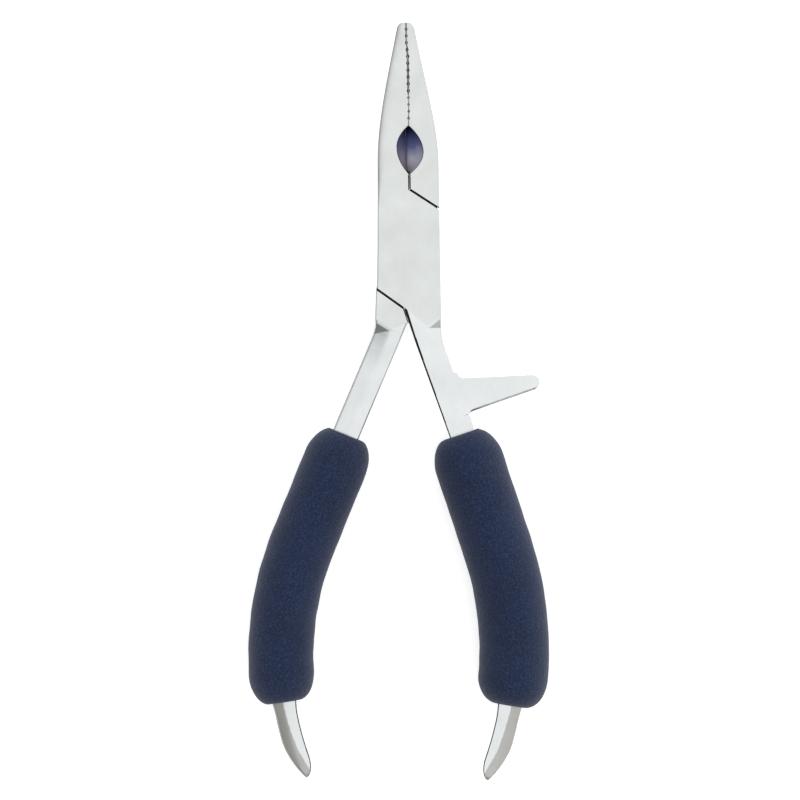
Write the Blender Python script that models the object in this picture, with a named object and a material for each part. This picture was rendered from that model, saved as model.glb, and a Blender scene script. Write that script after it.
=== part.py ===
"""Long-nose fishing pliers with a box joint, foam grips, a side cutter and a finger spur.

The pliers lie flat with their thickness along Z and their jaws along +Y.  The origin is on the
pivot axis, at the back face of the box.  The box lever is the left jaw, the two box plates and
the right arm.  The tongue lever is the right jaw, the tongue between the plates and the left
arm.  It turns clockwise about the pivot, seen from +Z, as the pliers open.
"""

import math

import bmesh
import bpy
from mathutils import Vector
from mathutils.geometry import interpolate_bezier

MM = 0.001
COLLECTION = "fishing_pliers"
CUTTERS = "fishing_pliers_cutters"

# Gaps and travel
PART_GAP = 0.30 * MM            # between pieces that touch in the real tool
SHOULDER_GAP = 0.50 * MM        # between the plates and the tongue lever's shoulders
SLOT_GAP = 0.20 * MM            # on each side of the tongue
PIN_SEAT_GAP = 0.06 * MM        # pin in the plates, radial
PIN_RUN_GAP = 0.08 * MM         # pin in the tongue, radial
STOP_GAP = 0.10 * MM            # left between the flanks at the open stop
OPEN_ANGLE = math.radians(35.0)

# Box
BOX_THICK = 7.0 * MM
BOX_RIGHT = 6.4 * MM            # right side, from the pivot
BOX_LEFT = 7.22 * MM            # left side, from the pivot
BOX_BOTTOM = 16.0 * MM          # where the thick box ends, below the pivot
BOX_FLARE = 0.75 * MM           # how far the left side leans out at the bottom
SHOULDER_TOP = 10.95 * MM       # upper shoulder line, from the pivot
SHOULDER_TOP_ANGLE = math.radians(56.0)
SHOULDER_LOW = 11.2 * MM        # lower shoulder line, from the pivot
SHOULDER_LOW_ANGLE = math.radians(233.6)
CROTCH_GAP = 0.30 * MM          # between the right arm and the left arm's root

# Jaws
JAW_LENGTH = 49.7 * MM          # tip, above the pivot
JAW_START = 18.0 * MM           # where the jaws begin to narrow and thin
JAW_LEFT = 6.8 * MM             # half widths at the start
JAW_RIGHT = 6.45 * MM
TIP_LEFT = 2.2 * MM             # half widths at the tip
TIP_RIGHT = 1.88 * MM
TIP_SLOPE = 0.2                 # how fast the jaws widen below the tip
TIP_THICK = 3.0 * MM
TIP_CORNER = 1.9 * MM

# Tongue and pin
TONGUE_RADIUS = 6.0 * MM
TONGUE_THICK = 2.6 * MM
PIN_RADIUS = 2.4 * MM
PIN_COVER = 1.2 * MM            # steel left over the blind end of the pin

# Gripping teeth
TOOTH_PITCH = 1.5 * MM
TOOTH_DEPTH = 0.35 * MM
TOOTH_MOUTH = 0.9 * MM
TOOTH_FIRST = 28.7 * MM         # lowest groove, above the pivot
TOOTH_MARGIN = 1.4 * MM         # from the highest groove to the tip, at least

# Side cutter: depth of the lens in each jaw, and where along its length it is deepest
CUTTER_LOW = 16.4 * MM
CUTTER_HIGH = 27.2 * MM
CUTTER_LENS = {-1.0: (2.42 * MM, 0.555), 1.0: (3.07 * MM, 0.455)}
CUTTER_EDGE = -0.6 * MM         # where the two edges meet, left of the slit
CUTTER_STEPS = 16
CUTTER_LEAST = 0.5 * MM         # narrowest end of a blade

# Arms and tails
ARM_THICK = 5.0 * MM
ARM_STRAIGHT = 52.3 * MM        # straight run before the bend
ARM_RAMP = 12.0 * MM            # length over which the box thins to the arm
TAIL_WIDTH = 4.8 * MM
TAIL_THICK = 2.8 * MM
TAIL_START = 84.0 * MM          # along the arm, where it begins to narrow
TAIL_NECK = 91.0 * MM
TAIL_TAPER = 9.2 * MM           # length over which the outer edge curves in to the tip
TAIL_ROUND = 4.7 * MM           # length over which the inner edge rounds to the tip
SHIFT_START = 5.0 * MM          # along the arm, where its steel begins to drift outward
SHIFT_END = 26.0 * MM
SHIFT_BACK = 60.0 * MM          # where it begins to drift back, inside the grip
ARM_STEPS = 24
TIP_STEPS = 10

# Each arm: its centre line, half width, drift off that line at the root and the grip, and grip
LEFT_ARM = {"sign": -1.0, "root": (-4.0 * MM, -15.0 * MM), "lean": math.radians(23.15),
            "bend": 66.3 * MM, "length": 105.2 * MM, "half": 3.0 * MM,
            "shift": (-0.05 * MM, 0.25 * MM), "grip": (27.7 * MM, 87.1 * MM, 7.2 * MM)}
RIGHT_ARM = {"sign": 1.0, "root": (2.12 * MM, -15.0 * MM), "lean": math.radians(17.35),
             "bend": 72.4 * MM, "length": 104.5 * MM, "half": 2.8 * MM,
             "shift": (-0.08 * MM, 0.5 * MM), "grip": (27.15 * MM, 86.4 * MM, 7.7 * MM)}

# Grips
GRIP_DOME = 7.5 * MM            # length of each rounded end
GRIP_MOUTH_TOP = 4.7 * MM       # radius of the end faces
GRIP_MOUTH_LOW = 4.2 * MM
GRIP_STEPS = 14
DOME_STEPS = 5

# Finger spur
SPUR_TOP = 27.6 * MM            # its straight upper edge, below the pivot
SPUR_LOW = 35.6 * MM            # lowest point of its root, below the pivot
SPUR_MIDDLE = 18.0 * MM         # along the arm, the middle of its root
SPUR_REACH = 27.65 * MM         # tip, to the right of the pivot
SPUR_TIP_RADIUS = 1.7 * MM
SPUR_TIP_THICK = 2.4 * MM

MIDDLE = BOX_THICK / 2.0
SLIT = PART_GAP / 2.0
FAR = 20.0 * MM                 # well outside the box
STEEL = (0.72, 0.74, 0.73)
PIN_STEEL = (0.62, 0.63, 0.62)
BLUED = (0.10, 0.09, 0.20)
NAVY = (0.018, 0.028, 0.085)


def start_scene():
    """Empty the scene and make the part and cutter collections."""
    for thing in list(bpy.data.objects):
        bpy.data.objects.remove(thing, do_unlink=True)
    for name in (COLLECTION, CUTTERS):
        bpy.context.scene.collection.children.link(bpy.data.collections.new(name))


def material(name, colour, roughness, metallic):
    """A Principled BSDF with one linear colour."""
    made = bpy.data.materials.new(name)
    made.use_nodes = True
    shader = made.node_tree.nodes["Principled BSDF"]
    shader.inputs["Base Color"].default_value = (*colour, 1.0)
    shader.inputs["Roughness"].default_value = roughness
    shader.inputs["Metallic"].default_value = metallic
    return made


def add_object(name, mesh, collection):
    """Link a mesh as a named object."""
    made = bpy.data.objects.new(name, mesh)
    bpy.data.collections[collection].objects.link(made)
    return made


def finish(thing, look, smooth=False):
    """Give a sub-part its material, and smooth shading where it is round."""
    thing.data.materials.clear()
    thing.data.materials.append(look)
    if smooth:
        thing.data.shade_smooth()
        thing.data.set_sharp_from_angle(angle=math.radians(35.0))


# Plane geometry

def normal_at(angle):
    """The unit vector at this angle from +X."""
    return Vector((math.cos(angle), math.sin(angle)))


def line_at(angle, distance):
    """Two points on the line that far from the pivot, whose normal has this angle."""
    normal = normal_at(angle)
    along = Vector((-normal.y, normal.x)) * FAR
    foot = normal * distance
    return foot - along, foot + along


def upright(x):
    """Two points on an upright line."""
    return Vector((x, -FAR)), Vector((x, FAR))


def crossing(first, second):
    """Where two lines meet, however long they are."""
    start = first[0]
    along = first[1] - start
    side = second[1] - second[0]
    scale = (second[0] - start).cross(side) / along.cross(side)
    return tuple(start + along * scale)


def touch_angle(point, radius, turn):
    """Angle of the normal of the line through a point that touches a circle at the pivot."""
    point = Vector(point)
    return math.atan2(point.y, point.x) + turn * math.acos(radius / point.length)


def arc(radius, start, end, steps):
    """Points on a circle at the pivot."""
    angles = [start + (end - start) * i / steps for i in range(steps + 1)]
    return [(radius * math.cos(angle), radius * math.sin(angle)) for angle in angles]


def bezier(start, first, second, end, steps):
    """Points on a cubic curve."""
    knots = [Vector((*point, 0.0)) for point in (start, first, second, end)]
    return [(point.x, point.y) for point in interpolate_bezier(*knots, steps + 1)]


# Solids

def curve_to_object(name, curve, collection):
    """Turn a filled curve into a welded mesh object."""
    holder = bpy.data.objects.new(name + "_curve", curve)
    bpy.context.scene.collection.objects.link(holder)
    bpy.context.view_layer.update()
    graph = bpy.context.evaluated_depsgraph_get()
    mesh = bpy.data.meshes.new_from_object(holder.evaluated_get(graph))
    shape = bmesh.new()
    shape.from_mesh(mesh)
    bmesh.ops.remove_doubles(shape, verts=shape.verts, dist=0.001 * MM)
    bmesh.ops.recalc_face_normals(shape, faces=shape.faces)
    shape.to_mesh(mesh)
    shape.free()
    made = add_object(name, mesh, collection)
    made.matrix_world = holder.matrix_world
    bpy.data.objects.remove(holder, do_unlink=True)
    return made


def plate(name, outline, low, high, collection=CUTTERS):
    """A flat plate with an XY outline between two heights."""
    curve = bpy.data.curves.new(name, "CURVE")
    curve.dimensions = "2D"
    curve.fill_mode = "BOTH"
    curve.extrude = (high - low) / 2.0
    spline = curve.splines.new("POLY")
    spline.points.add(len(outline) - 1)
    for point, (x, y) in zip(spline.points, outline):
        point.co = (x, y, 0.0, 1.0)
    spline.use_cyclic_u = True
    made = curve_to_object(name, curve, collection)
    made.location.z = (high + low) / 2.0
    return made


def side_profile(name, outline):
    """A cutter with a YZ outline that runs along X right across the pliers."""
    made = plate(name, outline, -3.0 * FAR, 3.0 * FAR)
    made.rotation_euler = (math.pi / 2.0, 0.0, math.pi / 2.0)
    return made


def front_profile(name, outline):
    """A cutter with an XZ outline that runs along Y right across the pliers."""
    made = plate(name, outline, -3.0 * FAR, 3.0 * FAR)
    made.rotation_euler.x = math.pi / 2.0
    return made


def cylinder(name, radius, low, high, collection=CUTTERS):
    """An upright cylinder on the pivot axis."""
    mesh = bpy.data.meshes.new(name)
    shape = bmesh.new()
    bmesh.ops.create_cone(shape, cap_ends=True, segments=48, radius1=radius, radius2=radius,
                          depth=high - low)
    shape.to_mesh(mesh)
    shape.free()
    made = add_object(name, mesh, collection)
    made.location.z = (low + high) / 2.0
    return made


def boolean(thing, cutter, operation="DIFFERENCE"):
    """Add an exact Boolean; the cutter is only seen as wire."""
    cutter.hide_render = True
    cutter.display_type = "WIRE"
    step = thing.modifiers.new(cutter.name, "BOOLEAN")
    step.operation = operation
    step.solver = "EXACT"
    step.object = cutter


# Arms

def arm_point(arm, along, across):
    """A point beside the arm's centre line, a straight run and then an arc; across is outward."""
    lean = arm["lean"]
    straight = min(along, ARM_STRAIGHT)
    heading = lean - max(0.0, along - ARM_STRAIGHT) / arm["bend"]
    x = straight * math.sin(lean) + arm["bend"] * (math.cos(heading) - math.cos(lean))
    y = arm["bend"] * (math.sin(heading) - math.sin(lean)) - straight * math.cos(lean)
    x += across * math.cos(heading)
    y += across * math.sin(heading)
    return arm["root"][0] + arm["sign"] * x, arm["root"][1] + y


def smooth_share(value, start, end):
    """0 before the start, 1 past the end, and a smooth rise between."""
    share = min(max((value - start) / (end - start), 0.0), 1.0)
    return share * share * (3.0 - 2.0 * share)


def arm_edge(arm, along, side):
    """Across, signed, to the inner (-1) or outer (1) edge.

    The arm is even, drifts off its centre line and narrows to the tail.  The tail's outer edge
    curves in to the tip, and its inner edge ends in a quarter of an ellipse.
    """
    narrowing = smooth_share(along, TAIL_START, TAIL_NECK)
    half = arm["half"] + (TAIL_WIDTH / 2.0 - arm["half"]) * narrowing
    at_root, at_grip = arm["shift"]
    drift = min(max((along - SHIFT_START) / (SHIFT_END - SHIFT_START), 0.0), 1.0)
    shift = at_root + (at_grip - at_root) * drift
    shift *= 1.0 - smooth_share(along, SHIFT_BACK, TAIL_START)
    reach = half + side * shift
    if side > 0.0:
        reach *= 1.0 - (max(0.0, along - arm["length"] + TAIL_TAPER) / TAIL_TAPER) ** 1.7
    else:
        into = max(0.0, along - arm["length"] + TAIL_ROUND) / TAIL_ROUND
        reach *= math.sqrt(max(0.0, 1.0 - into ** 2))
    return side * reach


def arm_edge_line(arm, side, gap=0.0):
    """Two points on the line of an edge at the root, moved off the arm by a gap."""
    start = Vector(arm_point(arm, 0.0, arm_edge(arm, 0.0, side) + side * gap))
    run = Vector((arm["sign"] * math.sin(arm["lean"]), -math.cos(arm["lean"])))
    return start, start + run * FAR


def arm_reaches(arm, line, side):
    """How far along the straight run one of its edges crosses a line."""
    start, far = arm_edge_line(arm, side)
    return (Vector(crossing((start, far), line)) - start).dot(far - start) / FAR


def arm_edges(arm, inner_start, outer_start):
    """The inner edge down to the tip, and the outer edge back up."""
    body = arm["length"] - TAIL_TAPER
    turns = [math.pi / 2.0 * i / TIP_STEPS for i in range(TIP_STEPS)]
    tip = [body + TAIL_TAPER * math.sin(turn) for turn in turns]
    edges = []
    for start, side in ((inner_start, -1.0), (outer_start, 1.0)):
        stations = [start + (body - start) * i / ARM_STEPS for i in range(ARM_STEPS)] + tip
        edges.append([arm_point(arm, s, arm_edge(arm, s, side)) for s in stations])
    return edges[0] + [arm_point(arm, arm["length"], 0.0)] + edges[1][::-1]


# Box and jaws

def box_side(side, y):
    """X of a side of the box: the left one leans out below the pivot, both ease to the jaws."""
    at_pivot, at_jaw = {-1.0: (BOX_LEFT, JAW_LEFT), 1.0: (BOX_RIGHT, JAW_RIGHT)}[side]
    if y < 0.0:
        return side * at_pivot + (BOX_FLARE * y / BOX_BOTTOM if side < 0.0 else 0.0)
    return side * (at_pivot + (at_jaw - at_pivot) * y / JAW_START)


def shoulder_on_side(angle, distance, side):
    """Where a shoulder line reaches a side of the box."""
    normal = normal_at(angle)
    y = distance * normal.y
    for _ in range(20):
        y = (distance - normal.x * box_side(side, y)) / normal.y
    return box_side(side, y), y


def jaw_half_thick(y):
    """Half the thickness of the box and jaws."""
    share = max(0.0, y - JAW_START) / (JAW_LENGTH - JAW_START)
    return (BOX_THICK + (TIP_THICK - BOX_THICK) * share) / 2.0


def jaw_edge(side, start_width, tip_width):
    """From the top of the slit, round the tip and down the jaw's outer edge to the box."""
    tip_y = JAW_LENGTH - TIP_CORNER
    corner = bezier((side * (tip_width - 0.7 * TIP_CORNER), JAW_LENGTH),
                    (side * (tip_width - 0.3 * TIP_CORNER), JAW_LENGTH),
                    (side * (tip_width - 0.15 * TIP_CORNER), JAW_LENGTH - 0.4 * TIP_CORNER),
                    (side * tip_width, tip_y), 4)
    jaw = tip_y - JAW_START
    flank = bezier((side * tip_width, tip_y),
                   (side * (tip_width + TIP_SLOPE * 0.43 * jaw), tip_y - 0.43 * jaw),
                   (side * start_width, JAW_START + 0.31 * jaw),
                   (side * start_width, JAW_START), 12)
    return [(side * SLIT, JAW_LENGTH)] + corner[:-1] + flank


def tooth_line(side):
    """The grooved slit face, from the lowest groove up."""
    points = []
    count = int((JAW_LENGTH - TOOTH_MARGIN - TOOTH_FIRST) / TOOTH_PITCH) + 1
    for i in range(count):
        y = TOOTH_FIRST + i * TOOTH_PITCH
        points.append((side * SLIT, y - TOOTH_MOUTH / 2.0))
        points.append((side * (SLIT + TOOTH_DEPTH), y))
        points.append((side * SLIT, y + TOOTH_MOUTH / 2.0))
    return points


def flank_angles():
    """Normals of the tongue's top, left, low and right flanks with the jaws closed."""
    slit_end = crossing(line_at(SHOULDER_TOP_ANGLE, SHOULDER_TOP), upright(SLIT))
    crotch = crossing(line_at(SHOULDER_LOW_ANGLE, SHOULDER_LOW), arm_edge_line(RIGHT_ARM, -1.0, CROTCH_GAP))
    low_left = shoulder_on_side(SHOULDER_LOW_ANGLE, SHOULDER_LOW, -1.0)
    top = touch_angle(slit_end, TONGUE_RADIUS, 1.0)
    left = touch_angle(low_left, TONGUE_RADIUS, -1.0) + 2.0 * math.pi
    low = touch_angle(crotch, TONGUE_RADIUS, 1.0)
    return top, left, low, 0.0


def box_lever_outline():
    """Left jaw, plates and right arm."""
    low = line_at(SHOULDER_LOW_ANGLE, SHOULDER_LOW - SHOULDER_GAP / 2.0)
    top = line_at(SHOULDER_TOP_ANGLE, SHOULDER_TOP - SHOULDER_GAP / 2.0)
    outline = jaw_edge(-1.0, JAW_LEFT, TIP_LEFT)
    outline.append((-BOX_LEFT, 0.0))
    outline.append(shoulder_on_side(SHOULDER_LOW_ANGLE, SHOULDER_LOW - SHOULDER_GAP / 2.0, -1.0))
    outline += arm_edges(RIGHT_ARM, arm_reaches(RIGHT_ARM, low, -1.0),
                         arm_reaches(RIGHT_ARM, upright(BOX_RIGHT), 1.0))
    outline.append((BOX_RIGHT, 0.0))
    outline.append(shoulder_on_side(SHOULDER_TOP_ANGLE, SHOULDER_TOP - SHOULDER_GAP / 2.0, 1.0))
    outline.append(crossing(top, upright(-SLIT)))
    return outline + tooth_line(-1.0)


def tongue_lever_outline():
    """Right jaw, tongue and left arm."""
    top, left, low, right = flank_angles()
    crotch = arm_edge_line(RIGHT_ARM, -1.0, CROTCH_GAP)
    box_left = upright(box_side(-1.0, -BOX_BOTTOM))
    shoulder_x, shoulder_y = shoulder_on_side(SHOULDER_TOP_ANGLE, SHOULDER_TOP, 1.0)
    outline = jaw_edge(1.0, JAW_RIGHT, TIP_RIGHT)
    outline.append((shoulder_x, shoulder_y))
    outline.append((TONGUE_RADIUS, shoulder_y))
    outline += arc(TONGUE_RADIUS, right, low, 6)
    outline.append(crossing(line_at(low, TONGUE_RADIUS), crotch))
    outline += arm_edges(LEFT_ARM, arm_reaches(LEFT_ARM, crotch, -1.0),
                         arm_reaches(LEFT_ARM, box_left, 1.0))
    outline.append((box_side(-1.0, -BOX_BOTTOM), -BOX_BOTTOM))
    outline.append(shoulder_on_side(SHOULDER_LOW_ANGLE, SHOULDER_LOW, -1.0))
    outline += arc(TONGUE_RADIUS, left, top, 5)
    outline.append(crossing(line_at(top, TONGUE_RADIUS), upright(SLIT)))
    return outline + tooth_line(1.0)


def slot_outline():
    """The space in the box lever that the tongue sweeps between closed and open."""
    top, left, low, right = flank_angles()
    top_line = line_at(top, TONGUE_RADIUS + PART_GAP)
    low_line = line_at(low, TONGUE_RADIUS + PART_GAP)
    left_stop = line_at(left - OPEN_ANGLE, TONGUE_RADIUS + STOP_GAP)
    right_stop = line_at(right - OPEN_ANGLE, TONGUE_RADIUS + STOP_GAP)
    return [crossing(top_line, upright(FAR)), crossing(top_line, left_stop),
            crossing(left_stop, upright(-FAR)), crossing(low_line, upright(-FAR)),
            crossing(low_line, right_stop), crossing(right_stop, upright(FAR))]


def plate_space_outline():
    """The space in the tongue lever that the box plates fill."""
    top = line_at(SHOULDER_TOP_ANGLE, SHOULDER_TOP + SHOULDER_GAP / 2.0)
    low = line_at(SHOULDER_LOW_ANGLE, SHOULDER_LOW + SHOULDER_GAP / 2.0)
    return [crossing(top, upright(FAR)), crossing(top, upright(-FAR)),
            crossing(low, upright(-FAR)), crossing(low, upright(FAR))]


def thickness_outline():
    """The YZ outline that thins the jaws, the arms and the tails evenly on both faces."""
    tail_end = min(arm_point(arm, arm["length"], 0.0)[1] for arm in (LEFT_ARM, RIGHT_ARM))
    tail_start = min(arm_point(arm, TAIL_START, 0.0)[1] for arm in (LEFT_ARM, RIGHT_ARM))
    past_tip = JAW_LENGTH + MM
    heights = [(past_tip, 2.0 * jaw_half_thick(past_tip)), (JAW_START, BOX_THICK),
               (-BOX_BOTTOM, BOX_THICK), (-BOX_BOTTOM - ARM_RAMP, ARM_THICK),
               (tail_start, ARM_THICK), (tail_end - MM, TAIL_THICK)]
    upper = [(y, MIDDLE + thick / 2.0) for y, thick in heights]
    lower = [(y, MIDDLE - thick / 2.0) for y, thick in heights]
    return upper + lower[::-1]


def lens_width(side, share):
    """Width of the cutter's lens at a share of its length."""
    depth, peak = CUTTER_LENS[side]
    rise = share / peak if share < peak else (1.0 - share) / (1.0 - peak)
    return depth * (1.0 - (1.0 - rise) ** 2)


def cutter_pocket(name, side):
    """A cutter for the recess that holds a blade, open to the slit."""
    length = CUTTER_HIGH - CUTTER_LOW
    shares = [i / CUTTER_STEPS for i in range(CUTTER_STEPS + 1)]
    outline = [(side * (SLIT + lens_width(side, s)), CUTTER_LOW + s * length) for s in shares]
    outline += [(-side * MM, CUTTER_HIGH), (-side * MM, CUTTER_LOW)]
    return plate(name, outline, -MM, BOX_THICK + MM)


def cutter_blade(name, side):
    """A blade lofted from its straight edge to the curved wall of its recess.

    The right blade reaches a little into the left recess, so it stops where that is shallow.
    """
    length = CUTTER_HIGH - CUTTER_LOW
    edge = CUTTER_EDGE + side * SLIT
    mesh = bpy.data.meshes.new(name)
    shape = bmesh.new()
    rows = []
    for i in range(4 * CUTTER_STEPS + 1):
        share = i / (4 * CUTTER_STEPS)
        back = side * (SLIT + lens_width(side, share) - PART_GAP)
        room = SLIT + lens_width(-side, share) - PART_GAP + side * edge
        if side * (back - edge) < CUTTER_LEAST or room < 0.0:
            continue
        y = CUTTER_LOW + share * length
        half = jaw_half_thick(y)
        row = [shape.verts.new((edge, y, MIDDLE)),
               shape.verts.new((back, y, MIDDLE + half)),
               shape.verts.new((back, y, MIDDLE - half))]
        rows.append(row)
    rows = rows[:-1:3] + [rows[-1]]
    for first, second in zip(rows, rows[1:]):
        for i in range(3):
            j = (i + 1) % 3
            shape.faces.new((first[i], first[j], second[j], second[i]))
    shape.faces.new(rows[0])
    shape.faces.new(rows[-1])
    bmesh.ops.delete(shape, geom=[v for v in shape.verts if not v.link_faces], context="VERTS")
    bmesh.ops.recalc_face_normals(shape, faces=shape.faces)
    shape.to_mesh(mesh)
    shape.free()
    return add_object(name, mesh, COLLECTION)


# Sub-parts

def box_lever(look):
    """The left jaw, the box with its slot and blind bore, and the right arm."""
    made = plate("box_lever", box_lever_outline(), 0.0, BOX_THICK, COLLECTION)
    boolean(made, side_profile("box_lever_thickness", thickness_outline()), "INTERSECT")
    slot = TONGUE_THICK / 2.0 + SLOT_GAP
    boolean(made, plate("tongue_slot", slot_outline(), MIDDLE - slot, MIDDLE + slot))
    boolean(made, cylinder("box_bore", PIN_RADIUS + PIN_SEAT_GAP, -MM, BOX_THICK - PIN_COVER))
    boolean(made, cutter_pocket("left_blade_pocket", -1.0))
    finish(made, look)


def tongue_lever(look):
    """The right jaw, the tongue with its bore, and the left arm."""
    made = plate("tongue_lever", tongue_lever_outline(), 0.0, BOX_THICK, COLLECTION)
    boolean(made, side_profile("tongue_lever_thickness", thickness_outline()), "INTERSECT")
    half = TONGUE_THICK / 2.0
    outline = plate_space_outline()
    boolean(made, plate("front_plate_space", outline, MIDDLE + half, BOX_THICK + MM))
    boolean(made, plate("back_plate_space", outline, -MM, MIDDLE - half))
    boolean(made, cylinder("tongue_bore", PIN_RADIUS + PIN_RUN_GAP, -MM, BOX_THICK + MM))
    boolean(made, cutter_pocket("right_blade_pocket", 1.0))
    finish(made, look)


def pivot_pin(look):
    """The pin, flush at the back and blind under the front plate."""
    made = cylinder("pivot_pin", PIN_RADIUS, 0.0, BOX_THICK - PIN_COVER - PART_GAP, COLLECTION)
    finish(made, look, smooth=True)


def finger_spur(look):
    """A flat tapering finger rest on the outer side of the right arm."""
    edge = arm_edge(RIGHT_ARM, SPUR_MIDDLE, 1.0) + PART_GAP
    lean = RIGHT_ARM["lean"]
    start_y = arm_point(RIGHT_ARM, 0.0, edge)[1]
    top_root = arm_point(RIGHT_ARM, (start_y + SPUR_TOP) / math.cos(lean), edge)
    low_root = arm_point(RIGHT_ARM, (start_y + SPUR_LOW) / math.cos(lean), edge)
    radius = SPUR_TIP_RADIUS
    tip = Vector((SPUR_REACH - radius, -SPUR_TOP - radius))
    last = touch_angle(Vector(low_root) - tip, radius, 1.0)
    turns = [math.pi / 2.0 + (last - math.pi / 2.0) * i / 8 for i in range(9)]
    rounded = [tuple(tip + normal_at(angle) * radius) for angle in turns]
    made = plate("finger_spur", [top_root] + rounded + [low_root], 0.0, BOX_THICK, COLLECTION)
    half = ARM_THICK / 2.0
    thin = SPUR_TIP_THICK / 2.0
    root_x = low_root[0]
    profile = [(0.0, MIDDLE - half), (root_x, MIDDLE - half), (SPUR_REACH + MM, MIDDLE - thin),
               (SPUR_REACH + MM, MIDDLE + thin), (root_x, MIDDLE + half), (0.0, MIDDLE + half)]
    boolean(made, front_profile("spur_thickness", profile), "INTERSECT")
    finish(made, look)


def grip(name, arm, look):
    """A round foam sleeve with domed ends, bored for its arm."""
    start, end, radius = arm["grip"]
    stations = []
    for i in range(DOME_STEPS):
        turn = math.pi / 2.0 * i / DOME_STEPS
        stations.append((start + GRIP_DOME * (1.0 - math.cos(turn)),
                         GRIP_MOUTH_TOP + (radius - GRIP_MOUTH_TOP) * math.sin(turn)))
    first = start + GRIP_DOME
    last = end - GRIP_DOME
    for i in range(GRIP_STEPS + 1):
        stations.append((first + (last - first) * i / GRIP_STEPS, radius))
    for i in range(1, DOME_STEPS + 1):
        turn = math.pi / 2.0 * i / DOME_STEPS
        stations.append((last + GRIP_DOME * math.sin(turn),
                         GRIP_MOUTH_LOW + (radius - GRIP_MOUTH_LOW) * math.cos(turn)))
    curve = bpy.data.curves.new(name, "CURVE")
    curve.dimensions = "3D"
    curve.bevel_depth = radius
    curve.bevel_resolution = 6
    curve.use_fill_caps = True
    spline = curve.splines.new("POLY")
    spline.points.add(len(stations) - 1)
    for point, (along, reach) in zip(spline.points, stations):
        point.co = (*arm_point(arm, along, 0.0), MIDDLE, 1.0)
        point.radius = reach / radius
    made = curve_to_object(name, curve, COLLECTION)
    boolean(made, grip_bore(name + "_bore", arm))
    finish(made, look, smooth=True)


def grip_bore(name, arm):
    """A cutter a little larger than the arm that runs through its grip."""
    margin = 4.0 * MM
    steps = 2 * GRIP_STEPS
    start, end, _ = arm["grip"]
    length = end - start + 2.0 * margin
    along = [start - margin + length * i / steps for i in range(steps + 1)]
    inner = [arm_point(arm, s, arm_edge(arm, s, -1.0) - PART_GAP) for s in along]
    outer = [arm_point(arm, s, arm_edge(arm, s, 1.0) + PART_GAP) for s in along]
    half = ARM_THICK / 2.0 + PART_GAP
    return plate(name, inner + outer[::-1], MIDDLE - half, MIDDLE + half)


def main():
    start_scene()
    steel = material("satin_steel", STEEL, 0.30, 1.0)
    pin_steel = material("pin_steel", PIN_STEEL, 0.25, 1.0)
    blued = material("blued_steel", BLUED, 0.35, 1.0)
    foam = material("navy_foam", NAVY, 0.95, 0.0)
    box_lever(steel)
    tongue_lever(steel)
    pivot_pin(pin_steel)
    finger_spur(steel)
    for name, side in (("cutter_blade_left", -1.0), ("cutter_blade_right", 1.0)):
        finish(cutter_blade(name, side), blued)
    grip("grip_left", LEFT_ARM, foam)
    grip("grip_right", RIGHT_ARM, foam)


main()
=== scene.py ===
"""Fishing pliers: fine surfaces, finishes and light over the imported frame.

The levers are ground forgings: one rounded head blank is cut by the slit and the shoulder lines,
and each arm is a section carried along a straight run and an arc.  The grips are foam sleeves.
"""
import math

import bmesh
import bpy
import numpy as np
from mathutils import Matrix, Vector


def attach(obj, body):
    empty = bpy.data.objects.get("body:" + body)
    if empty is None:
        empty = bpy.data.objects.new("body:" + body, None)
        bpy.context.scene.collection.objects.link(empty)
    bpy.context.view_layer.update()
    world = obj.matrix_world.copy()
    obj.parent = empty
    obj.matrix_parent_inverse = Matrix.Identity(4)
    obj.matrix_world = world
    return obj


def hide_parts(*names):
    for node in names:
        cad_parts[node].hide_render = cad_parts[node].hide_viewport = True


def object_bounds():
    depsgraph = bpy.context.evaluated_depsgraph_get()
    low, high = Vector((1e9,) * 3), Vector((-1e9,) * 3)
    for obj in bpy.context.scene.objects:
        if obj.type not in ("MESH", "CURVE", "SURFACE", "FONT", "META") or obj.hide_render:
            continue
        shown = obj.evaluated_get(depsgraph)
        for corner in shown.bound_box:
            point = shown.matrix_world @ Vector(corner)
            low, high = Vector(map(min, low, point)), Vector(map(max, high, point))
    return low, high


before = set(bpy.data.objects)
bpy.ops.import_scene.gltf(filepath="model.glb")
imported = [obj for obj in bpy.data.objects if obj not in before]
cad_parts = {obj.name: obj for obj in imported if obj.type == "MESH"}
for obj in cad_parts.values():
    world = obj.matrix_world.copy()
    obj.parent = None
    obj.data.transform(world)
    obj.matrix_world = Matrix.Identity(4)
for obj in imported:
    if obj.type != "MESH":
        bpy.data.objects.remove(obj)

CAD_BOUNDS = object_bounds()
MM = 0.001

# Box and shoulder lines, in millimetres from the pivot
MIDDLE = 3.5                    # mid-plane above the back face
BOX_HALF = 3.5
BOX_BOTTOM = 16.0
BOX_SIDE = {-1.0: 7.22, 1.0: 6.4}
JAW_SIDE = {-1.0: 6.83, 1.0: 6.47}
PLATE_FLARE = 0.5               # how far the plates' left side leans out at the bottom
ROOT_FLARE = 0.75               # and the left arm's root
SHOULDER_TOP = (10.95, math.radians(56.0))
SHOULDER_LOW = (11.2, math.radians(233.6))
SHOULDER_GAP = 0.50
CROTCH_GAP = 0.30
ROOT_FOOT = -0.95               # x where the crotch line leaves the left arm's root
FAR = 14.0                      # well outside the box, for cutting solids

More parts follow.
